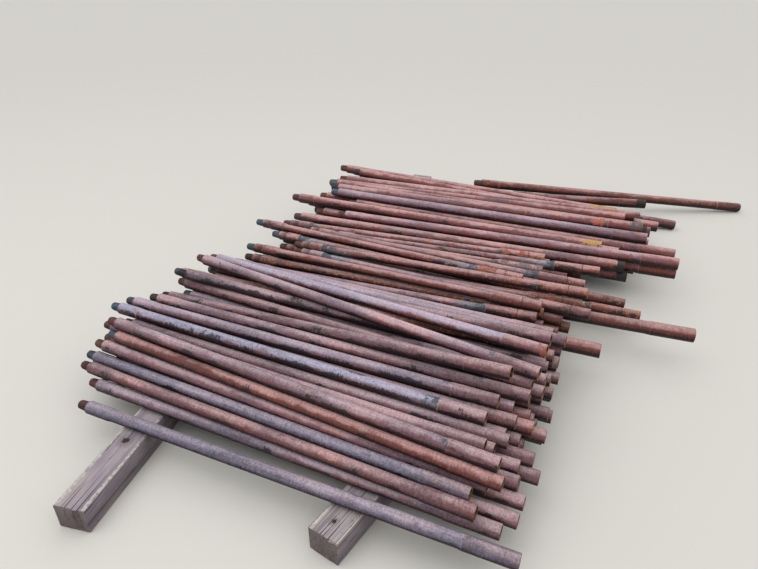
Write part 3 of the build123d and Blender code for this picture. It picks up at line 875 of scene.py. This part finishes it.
woodPatterns = {               # width in mm, how much longer it is along the timber, detail, roughness
    "fibre": (4.0, 40.0, 4.0, 0.6),
    "rings": (9.0, 60.0, 2.0, 0.5),
    "broad": (90.0, 3.0, 3.0, 0.6),
    "checks": (13.0, 24.0, 3.0, 0.6),
    "specks": (9.0, 1.3, 2.0, 0.6),
}
woodSurface = {"bump": 0.0014, "bumpStrength": 0.7, "roughness": 0.88}     # bump in m
woodColours = {
    "base": "#908492",         # silvered, with a lilac cast
    "pale": "#ada2a3",
    "winterWood": "#5a4d50",
    "crack": "#241e1f",
    "bleached": "#cfc8bb",
    "endGrain": "#7d6f66",
    "knot": "#2a2222",
}
woodSums = {
    "paler": ({"broad": 1.0}, 0.0, (-0.15, 0.18)),
    "lined": ({"rings": 1.0}, 0.0, (0.0, 0.16)),
    "fibred": ({"fibre": 1.0}, 0.0, (0.05, 0.25)),
    "checked": ({"checks": 1.0}, 0.0, (0.15, 0.20)),
    "specked": ({"specks": 1.0}, 0.0, (0.19, 0.24)),
    "topSide": ({"facing": 1.0}, 0.0, (0.3, 0.8)),
    "onEdge": ({"edgeGap": 1.0, "rings": 0.05, "specks": 0.04}, 0.0, (0.011, 0.002)),
    "onEnd": ({"endwise": 1.0}, 0.0, (0.6, 0.9)),
    "knotCore": ({"knotGap": 1.0, "specks": 2.0}, 0.0, (1.15, 0.75)),
    "knotHalo": ({"knotGap": 1.0, "rings": 4.0}, 0.0, (3.2, 1.0)),
    "height": ({"fibre": 0.5, "rings": 0.4, "checked": -1.0, "knotCore": -0.8}, 0.0, None),
}
woodLayers = [
    ("pale", 1.0, ["paler"]),
    ("winterWood", 0.6, ["lined"]),
    ("bleached", 0.35, ["fibred"]),
    ("winterWood", 0.45, ["knotHalo", "topSide"]),
    ("bleached", 0.75, ["onEdge", "topSide"]),
    ("crack", 0.85, ["checked"]),
    ("crack", 0.7, ["specked"]),
    ("knot", 0.95, ["knotCore"]),
    ("endGrain", 0.6, ["onEnd"]),
]


def makeWeatheredWood():
    material, tree = newMaterial("weatheredSawnSoftwood")
    signals = {}
    point, knot = [addNode(tree, "ShaderNodeAttribute", attribute_name=name).outputs["Vector"]
                   for name in ("grainPoint", "knotPlace")]
    signals["edgeGap"], size = [addNode(tree, "ShaderNodeAttribute", attribute_name=name).outputs["Fac"]
                                for name in ("edgeGap", "knotSize")]
    away = addNode(tree, "ShaderNodeVectorMath", {0: point, 1: knot}, operation="DISTANCE").outputs["Value"]
    signals["knotGap"] = addNode(tree, "ShaderNodeMath", {0: away, 1: size}, operation="DIVIDE").outputs[0]
    normal = addNode(tree, "ShaderNodeNewGeometry").outputs["Normal"]
    facing = addNode(tree, "ShaderNodeSeparateXYZ", {0: normal}).outputs
    signals["facing"] = facing[2]
    signals["endwise"] = addNode(tree, "ShaderNodeMath", {0: facing[1]}, operation="ABSOLUTE").outputs[0]
    addPatterns(tree, signals, point, 1, woodPatterns)
    addSums(tree, signals, woodSums)
    wood = addLayers(tree, signals, woodColours, woodLayers)
    bump = addNode(tree, "ShaderNodeBump", {"Strength": woodSurface["bumpStrength"],
                                            "Distance": woodSurface["bump"], "Height": signals["height"]})
    shader = addNode(tree, "ShaderNodeBsdfPrincipled", {"Base Color": wood,
                                                        "Roughness": woodSurface["roughness"],
                                                        "Normal": bump.outputs[0]})
    addNode(tree, "ShaderNodeOutputMaterial", {0: shader.outputs[0]})
    return material


weatheredWood = makeWeatheredWood()
timberNodes = [name for name in sorted(frame["nodes"]) if name.startswith("timber")]
timbers = [modelTimber(name, weatheredWood) for name in timberNodes]
print("timbers modelled:", len(timbers))


# Floor, world and lamps

studio = {
    "floorSize": 160.0,            # m
    "floorColour": "#dad7d1",
    "floorBounce": "#4e4139",      # what the floor gives back to the rods' undersides
    "floorRoughness": 0.9,
    "skyOverhead": 1.15,           # strength, more than at the horizon as on an overcast day
    "skyAtHorizon": 0.45,
    "backdrop": "#d3d1cc",
    "lampSize": 4.5,               # m
    "keyPlace": (-2.2, -3.0, 5.6),
    "keyPower": 60.0,              # W
    "fillPlace": (3.6, -1.0, 4.2),
    "fillPower": 15.0,             # W
}


def layFloor():
    bpy.ops.mesh.primitive_plane_add(size=studio["floorSize"], location=(0, 0, 0))
    floor = bpy.context.object
    floor.name = "paleFloor"
    material, tree = newMaterial("matPaleFloor")
    path = addNode(tree, "ShaderNodeLightPath")
    seen = addNode(tree, "ShaderNodeMath", {0: path.outputs["Is Camera Ray"],
                                            1: path.outputs["Is Glossy Ray"]}, operation="MAXIMUM")
    tone = addNode(tree, "ShaderNodeMix", {0: seen.outputs[0], 6: linearColour(studio["floorBounce"]),
                                           7: linearColour(studio["floorColour"])}, data_type="RGBA")
    shader = addNode(tree, "ShaderNodeBsdfPrincipled", {"Base Color": tone.outputs[2],
                                                        "Roughness": studio["floorRoughness"]})
    addNode(tree, "ShaderNodeOutputMaterial", {0: shader.outputs[0]})
    floor.data.materials.append(material)


def lightScene():
    world = bpy.data.worlds.new("softSky")
    bpy.context.scene.world = world
    world.use_nodes = True
    tree = world.node_tree
    tree.nodes.clear()
    path = addNode(tree, "ShaderNodeLightPath")
    way = addNode(tree, "ShaderNodeTexCoord").outputs["Generated"]
    up = addNode(tree, "ShaderNodeSeparateXYZ", {0: way}).outputs[2]
    overcast = addNode(tree, "ShaderNodeMapRange", {0: up, 1: 0.0, 2: 1.0, 3: studio["skyAtHorizon"],
                                                    4: studio["skyOverhead"]})
    light = addNode(tree, "ShaderNodeBackground", {0: (1, 1, 1, 1), 1: overcast.outputs[0]})
    seen = addNode(tree, "ShaderNodeBackground", {0: linearColour(studio["backdrop"]), 1: 1.0})
    mixed = addNode(tree, "ShaderNodeMixShader", {0: path.outputs["Is Camera Ray"], 1: light.outputs[0],
                                                  2: seen.outputs[0]})
    addNode(tree, "ShaderNodeOutputWorld", {0: mixed.outputs[0]})
    for name in ("key", "fill"):
        place = studio[name + "Place"]
        bpy.ops.object.light_add(type="AREA", location=place)
        lamp = bpy.context.object
        lamp.data.size = studio["lampSize"]
        lamp.data.energy = studio[name + "Power"]
        lamp.rotation_euler = (-Vector(place)).to_track_quat("-Z", "Y").to_euler()
    bpy.context.scene.view_settings.view_transform = "Standard"


layFloor()
lightScene()
print("stage and light set")
